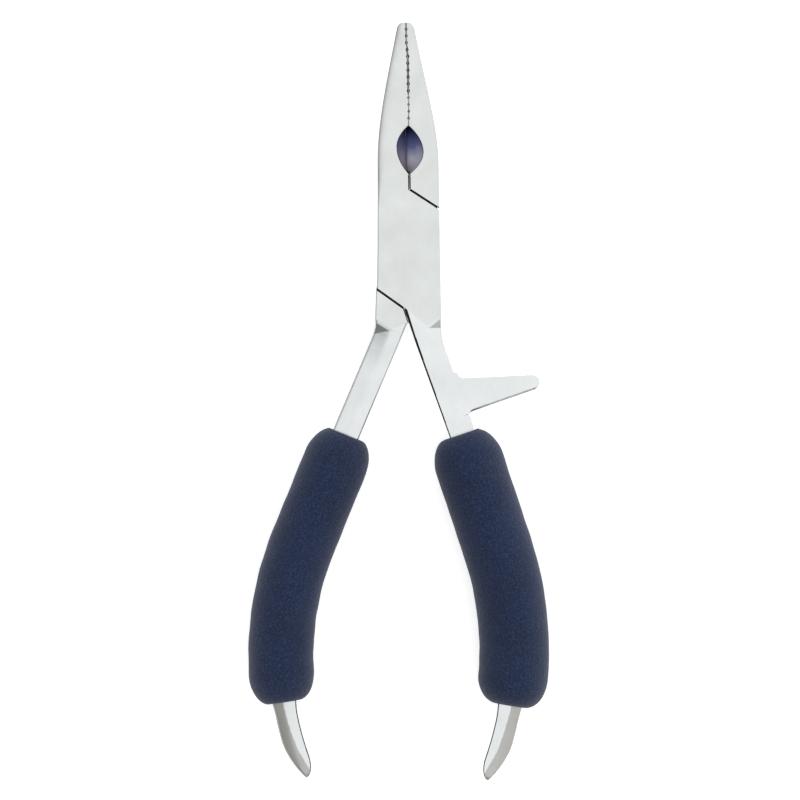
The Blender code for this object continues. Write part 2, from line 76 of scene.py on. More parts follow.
# Slit: its width at the faces and how far it strays from the middle, by height
SLIT_WIDTHS = ((9.0, 0.56), (17.0, 0.56), (27.0, 0.26), (31.0, 0.20), (33.5, 0.20), (35.0, 0.42),
               (42.0, 0.42), (44.5, 0.32), (50.0, 0.32))
SLIT_DRIFT = ((9.0, 0.0), (27.0, 0.02), (30.0, 0.14), (43.0, 0.14), (44.6, -0.10), (50.0, -0.10))
SLIT_SHUT = 0.04                # its width at mid depth, where the jaws meet
SHUT_HALF = 0.35                # half the height of the rib that shuts it
SHUT_STEP = 0.05                # height over which a wall steps out to the rib
SLIT_STATIONS = (26.5, 22.0, 17.0, 15.0)    # heights of its plain stretch, below the teeth

# Jaws
JAW_START = 18.0
JAW_LENGTH = 49.68
TIP_SIDE = {-1.0: 2.18, 1.0: 1.86}
JAW_SLOPE = {-1.0: 0.211, 1.0: 0.178}
TIP_HALF = 1.5
TIP_ROUND = {-1.0: 1.6, 1.0: 2.1}
TOOTH_PITCH = 1.5
TOOTH_DEPTH = 0.18
TOOTH_MOUTH = 0.80
TOOTH_FIRST = 28.7
TOOTH_COUNT = 14
PAST_TIP = 2.0                  # how far the cutting solids run past the tip
TIP_BEVEL = 0.8                 # length of the rounding at the tip, seen from the side
TIP_SWEEP = 3.9                 # length over which the tip's sections crowd together
EASE_LOW, EASE_HIGH = 0.31, 0.43        # reach of the jaw curve's handles, as shares of its run
HEAD_LOW = -19.0                # where the blank starts, below the box
HEAD_GROW = (9.0, 10.0)         # where its corners start to widen, and over what length
CORNER_TURN = math.radians(24.0)        # how far short of a quarter turn the jaw corners stop
# Width and depth of the head's corners, each as its size on the box and what the jaws add
HEAD_CORNER = {-1.0: ((0.40, 1.75), (0.30, 0.62)), 1.0: ((0.35, 0.95), (0.28, 0.60))}

# Cutter
CUTTER_LOW = 16.4
CUTTER_HIGH = 27.2
CUTTER_EDGE = 0.6               # where the two edges meet, left of the slit
LENS = {-1.0: (2.60, 0.555), 1.0: (3.15, 0.455)}

# Tongue and pin
TONGUE_RADIUS = 6.0
TONGUE_HALF = 1.3
SLOT_GAP = 0.20                 # on each face of the tongue
FLANK_GAP = 0.06                # past its flanks with the jaws closed
STOP_GAP = 0.10                 # past its flanks at the open stop
TONGUE_LOW = ((-3.0, -14.5), (-7.2, -13.0))             # corners hidden under the left root
TONGUE_HIGH = ((0.6, 15.0), (5.6, 13.0), (TONGUE_RADIUS, 9.5))      # and under the right jaw
OPEN_ANGLE = math.radians(35.0)
PIN_RADIUS = 2.4
PIN_COVER = 1.2                 # steel left in front of the pin
PIN_SEAT_GAP = 0.02
PIN_RUN_GAP = 0.08

# Arms: centre lines, half width, drift off the line at root and grip, facet corners, grip
ARM_TOP = 2.5                   # half thickness past the box
ARM_STRAIGHT = 52.3
SHIFT_START, SHIFT_END, SHIFT_BACK = 5.0, 26.0, 60.0
TAIL_HALF = 2.4
TAIL_START, TAIL_NECK = 84.0, 91.0
TAIL_TAPER, TAIL_ROUND = 9.2, 4.7
# How deep an arm's face sinks, from where and over what length
ARM_SINK = ((0.70, 2.0, 9.0), (0.30, 8.0, 18.0), (0.55, TAIL_START, 14.0))
TAIL_SLOPE, TAIL_HINGE = 0.50, 0.2      # the steeper slope ground on the tail's outer half
FACET_BREAK = 0.6               # where a facet turns from shallow to steep
SPUR_BLEND = 1.0                # length over which the right arm's rim gives way to the spur
LEFT = {"sign": -1.0, "root": (-4.0, -15.0), "lean": math.radians(23.15), "bend": 66.3,
        "length": 105.17, "half": 3.0, "shift": (-0.05, 0.25), "first": -1.5,
        "apex": (-4.47, -17.1), "upper": (-8.1, -14.75), "hinge": -0.4,
        "slope": (0.52, 0.34, 0.22), "facet": (0.30, 0.38), "inner": (0.30, 0.25),
        "rim": (0.65, 0.55),
        "grip": (26.9, 88.0, 6.4, 7.17)}
RIGHT = {"sign": 1.0, "root": (2.12, -15.0), "lean": math.radians(17.35), "bend": 72.4,
         "length": 104.47, "half": 2.8, "shift": (-0.08, 0.5), "first": -3.3,
         "apex": (3.3, -16.6), "upper": (6.1, -14.45), "hinge": 0.55,
         "slope": (0.48, 0.26, 0.06), "facet": (0.30, 0.45), "inner": (0.50, 0.22),
         "rim": (0.45, 0.35),
         "grip": (26.4, 87.4, 6.2, 7.66)}

# Grips
GRIP_DOME = 7.0
GRIP_CROWN = {"upper": 3.0, "lower": 3.2}
GRIP_MOUTH = 4.4

# Spur
SPUR_TOP = (-28.12, -27.64)     # its upper edge at the root and at the tip
SPUR_LOW = (12.2, -35.5)
SPUR_REACH = 27.62
SPUR_TIP = 1.65
SPUR_SPAN = (13.5, 22.5)        # where it joins, along the arm
SPUR_HALF = (2.44, 1.2)         # half its thickness at the root and at the tip
SPUR_FILLET_TOP = (9.7, 1.6, 1.3)       # start, length and rise of the fillet above it
SPUR_FILLET_LOW = (11.9, 1.2, 0.8)      # and of the one below

# Camera, in millimetres and degrees
EYE_DISTANCE = 1200.0           # above the front face
VIEW_WIDTH = 174.0
VIEW_MIDDLE = (-2.90, -32.58)
VIEW_TURN = 1.047


# Colour and material helpers

def colour(code):
    """An sRGB hex colour as linear RGBA."""
    parts = np.array([int(code[i:i + 2], 16) for i in (1, 3, 5)]) / 255.0
    linear = np.where(parts <= 0.04045, parts / 12.92, ((parts + 0.055) / 1.055) ** 2.4)
    return (*linear.tolist(), 1.0)


def node(tree, kind, settings=None, **links):
    """Add a node, set its properties, and fill its inputs with values or other sockets."""
    made = tree.nodes.new(kind)
    for key, value in (settings or {}).items():
        setattr(made, key, value)
    for key, value in links.items():
        name = key.replace("_", " ")
        socket = next(s for s in made.inputs if s.name.lower() == name.lower() and s.enabled)
        if isinstance(value, bpy.types.NodeSocket):
            tree.links.new(value, socket)
        else:
            socket.default_value = value
    return made


def new_material(name):
    """An empty material with a Principled shader wired to its output."""
    made = bpy.data.materials.new(name)
    made.use_nodes = True
    return made, made.node_tree, made.node_tree.nodes["Principled BSDF"]


def ramp(tree, fac, stops):
    """A colour ramp through (place, hex) stops."""
    made = node(tree, "ShaderNodeValToRGB", Fac=fac)
    band = made.color_ramp
    while len(band.elements) < len(stops):
        band.elements.new(1.0)
    for element, (place, code) in zip(band.elements, stops):
        element.position = place
        element.color = colour(code)
    return made.outputs["Color"]


# Mesh helpers

def mesh_object(name, points, faces):
    """Make an object from points in millimetres (height measured from the mid-plane)."""
    mesh = bpy.data.meshes.new(name)
    placed = (np.asarray(points, float) + (0.0, 0.0, MIDDLE)) * MM
    mesh.from_pydata(placed.tolist(), [], [list(f) for f in faces])
    mesh.update()
    made = bpy.data.objects.new(name, mesh)
    bpy.context.scene.collection.objects.link(made)
    return made


def loft(name, grid, cap=True, closed_rows=False, marks=None):
    """Skin a grid of points: each row is a closed ring, and rows join to the next.

    Ring i, point j joins ring i + 1, point j + 1.  Open ends are closed by a fan to the middle
    of the end ring, or the last ring joins the first where closed_rows is set.  Faces take their
    material number from the marks, one row of them for each row of the grid.
    """
    rows, cols, _ = grid.shape
    points = grid.reshape(-1, 3)
    last = rows if closed_rows else rows - 1
    i, j = np.meshgrid(np.arange(last), np.arange(cols), indexing="ij")
    k, m = (i + 1) % rows, (j + 1) % cols
    quads = np.stack([i * cols + j, i * cols + m, k * cols + m, k * cols + j], -1)
    quads = quads.reshape(-1, 4)
    faces = quads.tolist()
    if cap and not closed_rows:
        first, end = len(points), len(points) + 1
        points = np.vstack([points, grid[0].mean(0), grid[-1].mean(0)])
        ring = np.arange(cols)
        after = (ring + 1) % cols
        base = (rows - 1) * cols
        faces += np.stack([after, ring, np.full(cols, first)], 1).tolist()
        faces += np.stack([base + ring, base + after, np.full(cols, end)], 1).tolist()
    made = mesh_object(name, points, faces)
    if marks is not None:
        numbers = np.zeros(len(faces), int)
        numbers[:len(quads)] = marks[:last].ravel()
        made.data.polygons.foreach_set("material_index", numbers)
    outward(made)
    return made


def outward(thing):
    """Merge doubles and turn every face outward."""
    shape = bmesh.new()
    shape.from_mesh(thing.data)
    bmesh.ops.remove_doubles(shape, verts=shape.verts, dist=0.0005 * MM)
    bmesh.ops.recalc_face_normals(shape, faces=shape.faces)
    shape.to_mesh(thing.data)
    shape.free()


def prism(name, outline, low=-FAR, high=FAR, middle=None):
    """An upright prism on an XY outline between two heights from the mid-plane.

    Where a middle outline is given, the prism takes that outline near the mid-plane.
    """
    layers = [(low, outline), (high, outline)]
    if middle is not None:
        layers = [(low, outline), (-SHUT_HALF - SHUT_STEP, outline), (-SHUT_HALF, middle),
                  (SHUT_HALF, middle), (SHUT_HALF + SHUT_STEP, outline), (high, outline)]
    count = len(outline)
    points = np.concatenate([np.column_stack([np.asarray(ring, float), np.full(count, height)])
                             for height, ring in layers])
    ring = np.arange(count)
    after = (ring + 1) % count
    faces = []
    for base in range(0, count * (len(layers) - 1), count):
        faces += (base + np.stack([ring, after, after + count, ring + count], 1)).tolist()
    faces += [ring[::-1].tolist(), (ring + count * (len(layers) - 1)).tolist()]
    made = mesh_object(name, points, faces)
    outward(made)
    return made


def turned(name, profile, steps=96):
    """A solid of revolution about the pivot axis from (radius, height) points."""
    profile = np.asarray(profile, float)
    angle = np.linspace(0.0, 2.0 * math.pi, steps, endpoint=False)
    radius, height = profile[:, :1], profile[:, 1:]
    grid = np.stack([radius * np.cos(angle), radius * np.sin(angle),
                     np.broadcast_to(height, (len(profile), steps))], -1)
    return loft(name, grid)


def bake(thing):
    """Apply every modifier."""
    bpy.context.view_layer.update()
    graph = bpy.context.evaluated_depsgraph_get()
    mesh = bpy.data.meshes.new_from_object(thing.evaluated_get(graph))
    thing.modifiers.clear()
    thing.data = mesh


def combine(base, tool, *looks, operation="DIFFERENCE"):
    """Join or cut with another solid, whose faces bring their own materials."""
    for look in looks:
        tool.data.materials.append(look)
    step = base.modifiers.new("shape", "BOOLEAN")
    step.operation = operation
    step.solver = "EXACT"
    step.material_mode = "TRANSFER"
    step.object = tool
    bake(base)
    bpy.data.objects.remove(tool, do_unlink=True)
    return base


def smooth_step(value):
    """0 below 0, 1 above 1, and a smooth rise between."""
    share = np.clip(value, 0.0, 1.0)
    return share * share * (3.0 - 2.0 * share)


def dress(thing, node_name, body, look=None, angle=32.0):
    """Shade a finished steel piece, give it any one look, and tie it to the frame."""
    if look:
        thing.data.materials.clear()
        thing.data.materials.append(look)
    thing.data.shade_smooth()
    thing.data.set_sharp_from_angle(angle=math.radians(angle))
    weighted = thing.modifiers.new("even_flats", "WEIGHTED_NORMAL")
    weighted.keep_sharp = True
    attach(thing, body)
    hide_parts(node_name)
    return thing


# Plane geometry, in millimetres

def normal_at(angle):
    """The unit vector at an angle from +X."""
    return np.array([math.cos(angle), math.sin(angle)])


def line_at(angle, distance):
    """A point on the line that far from the pivot, and its direction."""
    normal = normal_at(angle)
    return normal * distance, np.array([-normal[1], normal[0]])


def at_x(line, x):
    """The point of a line at this x."""
    point, along = line
    return point + along * (x - point[0]) / along[0]


def meet(first, second):
    """Where two lines cross."""
    matrix = np.column_stack([first[1], -second[1]])
    share = np.linalg.solve(matrix, second[0] - first[0])[0]
    return first[0] + first[1] * share


def shoulder(line, gap):
    """A shoulder line moved away from the pivot by a gap, negative for towards it."""
    return line_at(line[1], line[0] + gap)


def facet_line(arm):
    """The line across the box where an arm's facet starts."""
    apex, upper = np.array(arm["apex"]), np.array(arm["upper"])
    return apex, upper - apex


def tangent(point, radius, turn):
    """Angle of the normal of the line through a point that touches a circle at the pivot."""
    reach = float(np.hypot(*point))
    return math.atan2(point[1], point[0]) + turn * math.acos(radius / reach)


def box_x(side, y, flare=ROOT_FLARE):
    """X of a side of the box at height y, whose left side leans out by the flare at the bottom."""
    lean = flare * np.minimum(y, 0.0) / BOX_BOTTOM if side < 0.0 else 0.0
    share = np.clip(y, 0.0, JAW_START) / JAW_START
    return side * (BOX_SIDE[side] + (JAW_SIDE[side] - BOX_SIDE[side]) * share) + lean


def jaw_x(side, y, flare):
    """X of the outer edge of the head at heights y.

    Below the jaw start it is the side of the box; above it a cubic curve eases from the box to
    the tip, whose corner is a quarter of an ellipse.
    """
    tip_round = TIP_ROUND[side]
    tip_y = JAW_LENGTH - tip_round
    run = tip_y - JAW_START
    share = np.linspace(0.0, 1.0, 200)[:, None]
    knots = np.array([[JAW_SIDE[side], JAW_START], [JAW_SIDE[side], JAW_START + EASE_LOW * run],
                      [TIP_SIDE[side] + JAW_SLOPE[side] * EASE_HIGH * run, tip_y - EASE_HIGH * run],
                      [TIP_SIDE[side], tip_y]])
    back = 1.0 - share
    curve = (back ** 3 * knots[0] + 3.0 * back ** 2 * share * knots[1]
             + 3.0 * back * share ** 2 * knots[2] + share ** 3 * knots[3])
    edge = np.interp(y, curve[:, 1], curve[:, 0])
    into = np.clip((y - tip_y) / tip_round, 0.0, 1.0)
    edge = edge - 0.62 * tip_round * (1.0 - np.sqrt(1.0 - into ** 2)) - 0.12 * into
    return np.where(y < JAW_START, box_x(side, y, flare), side * edge)


def head_half(y):
    """Half the thickness of the box and jaws, with a rounded tip."""
    share = np.clip((y - JAW_START) / (JAW_LENGTH - JAW_START), 0.0, 1.0)
    half = BOX_HALF + (TIP_HALF - BOX_HALF) * share
    into = np.clip((y - JAW_LENGTH + TIP_BEVEL) / TIP_BEVEL, 0.0, 1.0)
    return half - 0.45 * (1.0 - np.sqrt(1.0 - into ** 2))


# Levers

def head_blank(name, look, flare):
    """The whole ground head before the slit is cut: a rounded section carried along Y.

    At each station the section is a rectangle between the two outer edges whose four corners
    are quarter ellipses; they are small on the box and broad along the jaws.
    """
    low = np.linspace(HEAD_LOW, 10.0, 18)[:-1]
    mid = np.linspace(10.0, 46.0, 110)[:-1]
    tip = JAW_LENGTH - TIP_SWEEP * (1.0 - np.sin(np.linspace(0.0, math.pi / 2.0, 30)))
    y = np.concatenate([low, mid, tip])
    half = head_half(y)
    grow = smooth_step((y - HEAD_GROW[0]) / HEAD_GROW[1])
    count = 10
    rings = []
    wide = {side: pair[0][0] + pair[0][1] * grow for side, pair in HEAD_CORNER.items()}
    deep = {side: pair[1][0] + pair[1][1] * grow for side, pair in HEAD_CORNER.items()}
    last = math.pi / 2.0 - CORNER_TURN * grow[:, None]
    turn = last * np.linspace(0.0, 1.0, count)
    corners = {}
    for side in (-1.0, 1.0):
        edge = jaw_x(side, y, flare)
        fit = np.minimum(1.0, (half - 0.25) / (deep[side] + 0.35))
        room = np.minimum(wide[side], np.abs(edge) * 0.75)
        x = edge[:, None] - side * room[:, None] * (1.0 - np.sin(turn) / np.sin(last))
        z = half[:, None] - (deep[side] * fit)[:, None] * (1.0 - np.cos(turn))
        corners[side] = (x, z)
    left_x, left_z = corners[-1.0]
    right_x, right_z = corners[1.0]
    section_x = np.concatenate([left_x[:, ::-1], right_x, right_x[:, ::-1], left_x], 1)
    section_z = np.concatenate([left_z[:, ::-1], right_z, -right_z[:, ::-1], -left_z], 1)
    grid = np.stack([section_x, np.broadcast_to(y[:, None], section_x.shape), section_z], -1)
    made = loft(name, grid)
    made.data.materials.append(look)
    return made


def slit_x(side, y):
    """X of a wall of the slit at the faces."""
    heights, widths = np.array(SLIT_WIDTHS).T
    places, drift = np.array(SLIT_DRIFT).T
    return np.interp(y, places, drift) + side * np.interp(y, heights, widths) / 2.0


def slit_line(side):
    """The slit face from above the tip down, with its V grooves, and the same at mid depth."""
    face = [(slit_x(side, JAW_LENGTH), JAW_LENGTH + PAST_TIP)]
    for i in range(TOOTH_COUNT)[::-1]:
        y = TOOTH_FIRST + i * TOOTH_PITCH
        face += [(slit_x(side, y), y + TOOTH_MOUTH / 2.0),
                 (slit_x(side, y) + side * TOOTH_DEPTH, y),
                 (slit_x(side, y), y - TOOTH_MOUTH / 2.0)]
    face += [(slit_x(side, y), y) for y in SLIT_STATIONS]
    places, drift = np.array(SLIT_DRIFT).T
    middle = [(np.interp(y, places, drift) + side * SLIT_SHUT / 2.0, y) for _, y in face]
    return face, middle


def arm_line(arm, along):
    """Centre points and outward directions along an arm: a straight run, then an arc."""
    lean = arm["lean"]
    heading = lean - np.maximum(0.0, along - ARM_STRAIGHT) / arm["bend"]
    straight = np.minimum(along, ARM_STRAIGHT)
    x = straight * math.sin(lean) + arm["bend"] * (np.cos(heading) - math.cos(lean))
    y = arm["bend"] * (np.sin(heading) - math.sin(lean)) - straight * math.cos(lean)
    centre = np.stack([arm["root"][0] + arm["sign"] * x, arm["root"][1] + y], -1)
    out = np.stack([arm["sign"] * np.cos(heading), np.sin(heading)], -1)
    return centre, out


def arm_edge(arm, along, side):
    """Distance from the centre line to the inner (-1) or outer (1) edge.

    The arm is even, drifts off its centre line and narrows to the tail.  The tail's outer edge
    curves in to the tip, and its inner edge ends in a quarter of an ellipse.
    """
    narrowing = smooth_step((along - TAIL_START) / (TAIL_NECK - TAIL_START))
    half = arm["half"] + (TAIL_HALF - arm["half"]) * narrowing
    at_root, at_grip = arm["shift"]
    drift = np.clip((along - SHIFT_START) / (SHIFT_END - SHIFT_START), 0.0, 1.0)
    shift = at_root + (at_grip - at_root) * drift
    shift = shift * (1.0 - smooth_step((along - SHIFT_BACK) / (TAIL_START - SHIFT_BACK)))
    if side > 0.0:
        into = np.clip((along - arm["length"] + TAIL_TAPER) / TAIL_TAPER, 0.0, 1.0)
        return (half + shift) * (1.0 - into ** 1.7)
    into = np.clip((along - arm["length"] + TAIL_ROUND) / TAIL_ROUND, 0.0, 1.0)
    return (half - shift) * np.sqrt(1.0 - into ** 2)


def crotch_line(gap):
    """The line along the right arm's inner edge, moved towards the left arm by a gap."""
    centre, out = arm_line(RIGHT, np.array([0.0, 1.0]))
    start = centre[0] - out[0] * (arm_edge(RIGHT, np.zeros(1), -1.0)[0] + gap)
    return start, centre[1] - centre[0]


def arm_top(arm, place, along, across):
    """Height of an arm's upper face.

    The arm's own face sinks from the box level and falls outward past a soft hinge.  A facet
    runs down from a line across the box; it is shallow, then steep.  The face is the higher of
    those two, and never above the box.  The tail's outer half is ground to a steeper slope.
    """
    sink = sum(depth * smooth_step((along - start) / run) for depth, start, run in ARM_SINK)
    steep, mild, easy = arm["slope"]
    slope = np.interp(along, (4.2, 7.5, 13.0, TAIL_START, TAIL_NECK),
                      (steep, mild, easy, easy, TAIL_SLOPE))
    hinge = np.interp(along, (TAIL_START, TAIL_NECK), (arm["hinge"], TAIL_HINGE))
    past = across - hinge
    fall = slope * 0.5 * (past + np.sqrt(past ** 2 + 0.25))
    own = BOX_HALF - sink - fall
    apex, run = facet_line(arm)
    run = run / np.hypot(*run)
    down = np.array([run[1], -run[0]]) * (1.0 if run[0] > 0.0 else -1.0)
    beyond = (place - apex) @ down
    shallow, extra = arm["facet"]
    facet = BOX_HALF - shallow * np.maximum(beyond, 0.0)
    facet = facet - extra * np.maximum(beyond - FACET_BREAK, 0.0)
    return np.where(beyond > 0.0, np.maximum(facet, own), BOX_HALF) - 0.004


def arm_blank(name, arm):
    """A forged arm: a section carried along the centre line.

    The inner edge is a chamfer that narrows towards the grip, and the outer edge a quarter of
    an ellipse, which the right arm loses where the spur joins it.  The chamfer carries painted
    shade, a nearly black steel, on the right arm and on both tails, and the tails' outer halves
    carry painted shade as a darker, rougher steel.
    """
    sign = arm["sign"]
    body = arm["length"] - TAIL_TAPER
    root = np.linspace(arm["first"], 8.0, 120)[:-1]
    main = np.linspace(8.0, body, 150)[:-1]
    end = body + (TAIL_TAPER - 0.02) * np.sin(np.linspace(0.0, math.pi / 2.0, 40))
    along = np.concatenate([root, main, end])
    centre, out = arm_line(arm, along)
    inner = arm_edge(arm, along, -1.0)
    if sign < 0.0:
        start, run = crotch_line(CROTCH_GAP)
        normal = np.array([-run[1], run[0]])
        inner = np.minimum(inner, ((centre - start) @ normal) / (out @ normal))
    side = (box_x(sign, centre[:, 1]) - centre[:, 0]) / out[:, 0]
    lead = side - arm_edge(arm, along, 1.0)
    swell = 0.5 * (np.sqrt(lead ** 2 + 0.2) + lead) * smooth_step((12.0 - along) / 6.0)
    outer = arm_edge(arm, along, 1.0) + swell
    share = 0.5 - 0.5 * np.cos(np.linspace(0.0, math.pi, 61))
    across = -inner[:, None] + (inner + outer)[:, None] * share
    place = centre[:, None, :] + out[:, None, :] * across[..., None]
    top = arm_top(arm, place, along[:, None], across)

    wide_in = np.interp(along, (-3.0, 26.0, TAIL_START, TAIL_NECK), (*arm["inner"], 0.20, 0.20))
    wide_in = np.minimum(wide_in, 0.3 * (inner + outer))[:, None]
    wide_out, deep_out = arm["rim"]
    wide_out = np.minimum(wide_out, 0.3 * (inner + outer))[:, None]
    if sign > 0.0:
        start, stop = SPUR_SPAN
        joined = (smooth_step((along - start + SPUR_BLEND) / SPUR_BLEND)
                  * smooth_step((stop + SPUR_BLEND - along) / SPUR_BLEND))
        deep_out = (deep_out * (1.0 - joined) + 0.02 * joined)[:, None]
    from_inner = np.clip((across + inner[:, None]) / wide_in, 0.0, 1.0)
    from_outer = np.clip((outer[:, None] - across) / wide_out, 0.0, 1.0)
    drop = 0.9 * wide_in * (1.0 - from_inner)
    drop = drop + deep_out * (1.0 - np.sqrt(1.0 - (1.0 - from_outer) ** 2))
    tip_round = np.clip((along - arm["length"] + 1.2) / 1.2, 0.0, 1.0)[:, None]
    top = (top - drop) * (1.0 - 0.45 * (1.0 - np.sqrt(1.0 - tip_round ** 2)))
    ring_xy = np.concatenate([place, place[:, ::-1]], 1)
    ring_z = np.concatenate([top, -top[:, ::-1]], 1)
    grid = np.concatenate([ring_xy, ring_z[..., None]], -1)
    # Material 1 is painted shade on the inner chamfer; material 2 is painted shade, a darker and
    # rougher steel, on the tails' outer halves.
    shaded = np.interp(along, (26.0, 27.0), (float(sign > 0.0), 1.0))[:, None] > 0.5
    tail_painted_shade_from = np.interp(along, (TAIL_START + 5.0, 98.0, 104.0), (0.15, -0.5, -1.6))[:, None]
    tail_painted_shade_mask = (across > tail_painted_shade_from) & (along[:, None] > TAIL_START)
    marks = np.where((from_inner < 0.97) & shaded, 1, 2 * tail_painted_shade_mask)
    marks = np.concatenate([marks, marks[:, ::-1]], 1)
    marks[:, -1] = 0
    return loft(name, grid, marks=marks)


def flank_angles():
    """Normals of the tongue's top, left and low flanks with the jaws closed."""
    slit_end = at_x(line_at(SHOULDER_TOP[1], SHOULDER_TOP[0] - SHOULDER_GAP / 2.0), -SLIT_SHUT)
    crotch = meet(line_at(SHOULDER_LOW[1], SHOULDER_LOW[0] - SHOULDER_GAP / 2.0),
                  crotch_line(SLIT_SHUT))
    corner = at_x(line_at(SHOULDER_LOW[1], SHOULDER_LOW[0]), box_x(-1.0, -8.2))
    top = tangent(slit_end, TONGUE_RADIUS, 1.0)
    left = tangent(corner, TONGUE_RADIUS, -1.0) + 2.0 * math.pi
    low = tangent(crotch, TONGUE_RADIUS, 1.0)
    return top, left, low


def round_disc(radius, start, end, steps):
    """Points round the tongue's disc."""
    angle = np.linspace(start, end, steps)
    return list(np.column_stack([radius * np.cos(angle), radius * np.sin(angle)]))


def tongue_plate(name):
    """The tongue between the plates: a disc whose flanks run out to both shoulders."""
    top, left, low = flank_angles()
    low_line = line_at(low, TONGUE_RADIUS)
    left_line = line_at(left, TONGUE_RADIUS)
    outline = round_disc(TONGUE_RADIUS, 0.0, low, 18)
    crotch = crotch_line(SLIT_SHUT)
    outline += [meet(low_line, crotch), at_x(crotch, -1.15), *np.array(TONGUE_LOW),
                left_line[0] + left_line[1] * 10.5]
    outline += round_disc(TONGUE_RADIUS, left, top, 14)
    outline += [at_x(line_at(top, TONGUE_RADIUS), 0.2), *np.array(TONGUE_HIGH)]
    return prism(name, outline[::-1], -TONGUE_HALF, TONGUE_HALF)


def slot_space(name):
    """The space the tongue sweeps inside the box."""
    top, left, low = flank_angles()
    clear = TONGUE_RADIUS + FLANK_GAP
    top_line, low_line = line_at(top, clear), line_at(low, clear)
    left_stop = line_at(left - OPEN_ANGLE, TONGUE_RADIUS + STOP_GAP)
    right_stop = line_at(-OPEN_ANGLE, TONGUE_RADIUS + STOP_GAP)
    outline = [at_x(top_line, FAR), meet(top_line, left_stop), at_x(left_stop, -FAR),
               at_x(low_line, -FAR), meet(low_line, right_stop), at_x(right_stop, FAR)]
    half = TONGUE_HALF + SLOT_GAP
    return prism(name, outline, -half, half)


def lens_width(side, share):
    """Width of the cutter's lens at a share of its length: two parabolas that meet at its peak."""
    depth, peak = LENS[side]
    rise = np.where(share < peak, share / peak, (1.0 - share) / (1.0 - peak))
    return depth * (1.0 - (1.0 - rise) ** 2)


def lens_space(name, side):
    """The recess for a blade, open to the slit."""
    share = np.linspace(0.0, 1.0, 49)
    y = CUTTER_LOW + share * (CUTTER_HIGH - CUTTER_LOW)
    x = side * (lens_width(side, share) + 0.06)
    outline = np.column_stack([x, y]).tolist()
    outline += [(-side, CUTTER_HIGH), (-side, CUTTER_LOW)]
    return prism(name, outline)


def box_lever(satin, painted_shade, arm_looks):
    """Left jaw, plates and right arm."""
    gap = SHOULDER_GAP / 2.0
    top = shoulder(SHOULDER_TOP, -gap)
    low = shoulder(SHOULDER_LOW, -gap)
    facet = facet_line(RIGHT)
    face, middle = slit_line(-1.0)
    ends = [at_x(top, FAR), at_x(facet, FAR), facet[0], meet(low, crotch_line(-0.05)),
            at_x(low, -FAR), (-FAR, JAW_LENGTH + PAST_TIP)]
    cuts = [line + [at_x(top, line[-1][0])] + ends for line in (face, middle)]
    made = head_blank("box_lever_forging", satin, PLATE_FLARE)
    # The cut faces take the nearly black steel: painted shade in the slit, slot, bore and recess.
    combine(made, prism("box_side_cut", cuts[0], middle=cuts[1]), painted_shade, operation="INTERSECT")
    combine(made, arm_blank("right_arm", RIGHT), *arm_looks, operation="UNION")
    combine(made, slot_space("tongue_slot"), painted_shade)
    combine(made, turned("bore", [(PIN_RADIUS + PIN_SEAT_GAP, -9.0),
                                  (PIN_RADIUS + PIN_SEAT_GAP, BOX_HALF - PIN_COVER)]), painted_shade)
    combine(made, lens_space("left_recess", -1.0), painted_shade)
    return dress(made, "box_lever", "box_side")


def left_root_outline(low, width):
    """The left arm's root between the low shoulder, a crotch of this width and the facet."""
    facet, crotch = facet_line(LEFT), crotch_line(width)
    return [at_x(low, -FAR), meet(low, crotch), at_x(crotch, ROOT_FOOT + CROTCH_GAP - width),
            facet[0], at_x(facet, -FAR)]


def tongue_lever(satin, painted_shade, arm_looks):
    """Right jaw, tongue and left arm."""
    gap = SHOULDER_GAP / 2.0
    top = shoulder(SHOULDER_TOP, gap)
    low = shoulder(SHOULDER_LOW, gap)
    face, middle = slit_line(1.0)
    ends = [at_x(top, FAR), (FAR, JAW_LENGTH + PAST_TIP)]
    cuts = [line + [at_x(top, line[-1][0])] + ends for line in (face, middle)]
    roots = [left_root_outline(low, width) for width in (CROTCH_GAP, SLIT_SHUT)]
    made = head_blank("tongue_lever_forging", satin, PLATE_FLARE)
    # The cut faces and the tongue take the nearly black steel: painted shade in the slit, bore and
    # recess.
    combine(made, prism("right_jaw_cut", cuts[0], middle=cuts[1]), painted_shade, operation="INTERSECT")
    lower = head_blank("left_root", satin, ROOT_FLARE + 0.1)
    combine(lower, prism("left_root_cut", roots[0], middle=roots[1]), painted_shade,
            operation="INTERSECT")
    combine(made, tongue_plate("tongue"), painted_shade, operation="UNION")
    lower.data.materials.clear()
    combine(made, lower, satin, operation="UNION")
    combine(made, arm_blank("left_arm", LEFT), *arm_looks, operation="UNION")
    combine(made, turned("bore", [(PIN_RADIUS + PIN_RUN_GAP, -9.0),
                                  (PIN_RADIUS + PIN_RUN_GAP, 9.0)]), painted_shade)
    combine(made, lens_space("right_recess", 1.0), painted_shade)
    return dress(made, "tongue_lever", "tongue_side")


def cutter_blade(name, side, look, body):
    """A blade that slopes from the rim of its lens down to its cutting edge.

    Each station is a closed section: a narrow land at the edge, a slightly hollow slope up to
    the face of the jaw, the wall of the recess, and the same on the other face.
    """
    share = np.linspace(0.012, 0.988, 90)
    if side < 0.0:
        share = share[lens_width(-1.0, share) - 0.05 > CUTTER_EDGE + 0.05]
    y = CUTTER_LOW + share * (CUTTER_HIGH - CUTTER_LOW)
    edge = -np.minimum(lens_width(-1.0, share) - 0.03, CUTTER_EDGE) + side * 0.003
    back = side * (lens_width(side, share) + 0.04)
    half = head_half(y) - 0.02
    across = np.linspace(0.0, 1.0, 15)
    height = 0.10 * np.minimum(across / 0.07, 1.0) + 0.90 * across ** 1.12
    rim_x = back - side * 0.12
    section_x = np.column_stack([edge[:, None] + (rim_x - edge)[:, None] * across, back])
    top = np.column_stack([half[:, None] * height, half - 0.35])
    section_x = np.concatenate([section_x, section_x[:, ::-1]], 1)
    section_z = np.concatenate([top, -top[:, ::-1]], 1)
    grid = np.stack([section_x, np.broadcast_to(y[:, None], section_x.shape), section_z], -1)
    return dress(loft(name + "_fine", grid), name, body, look)


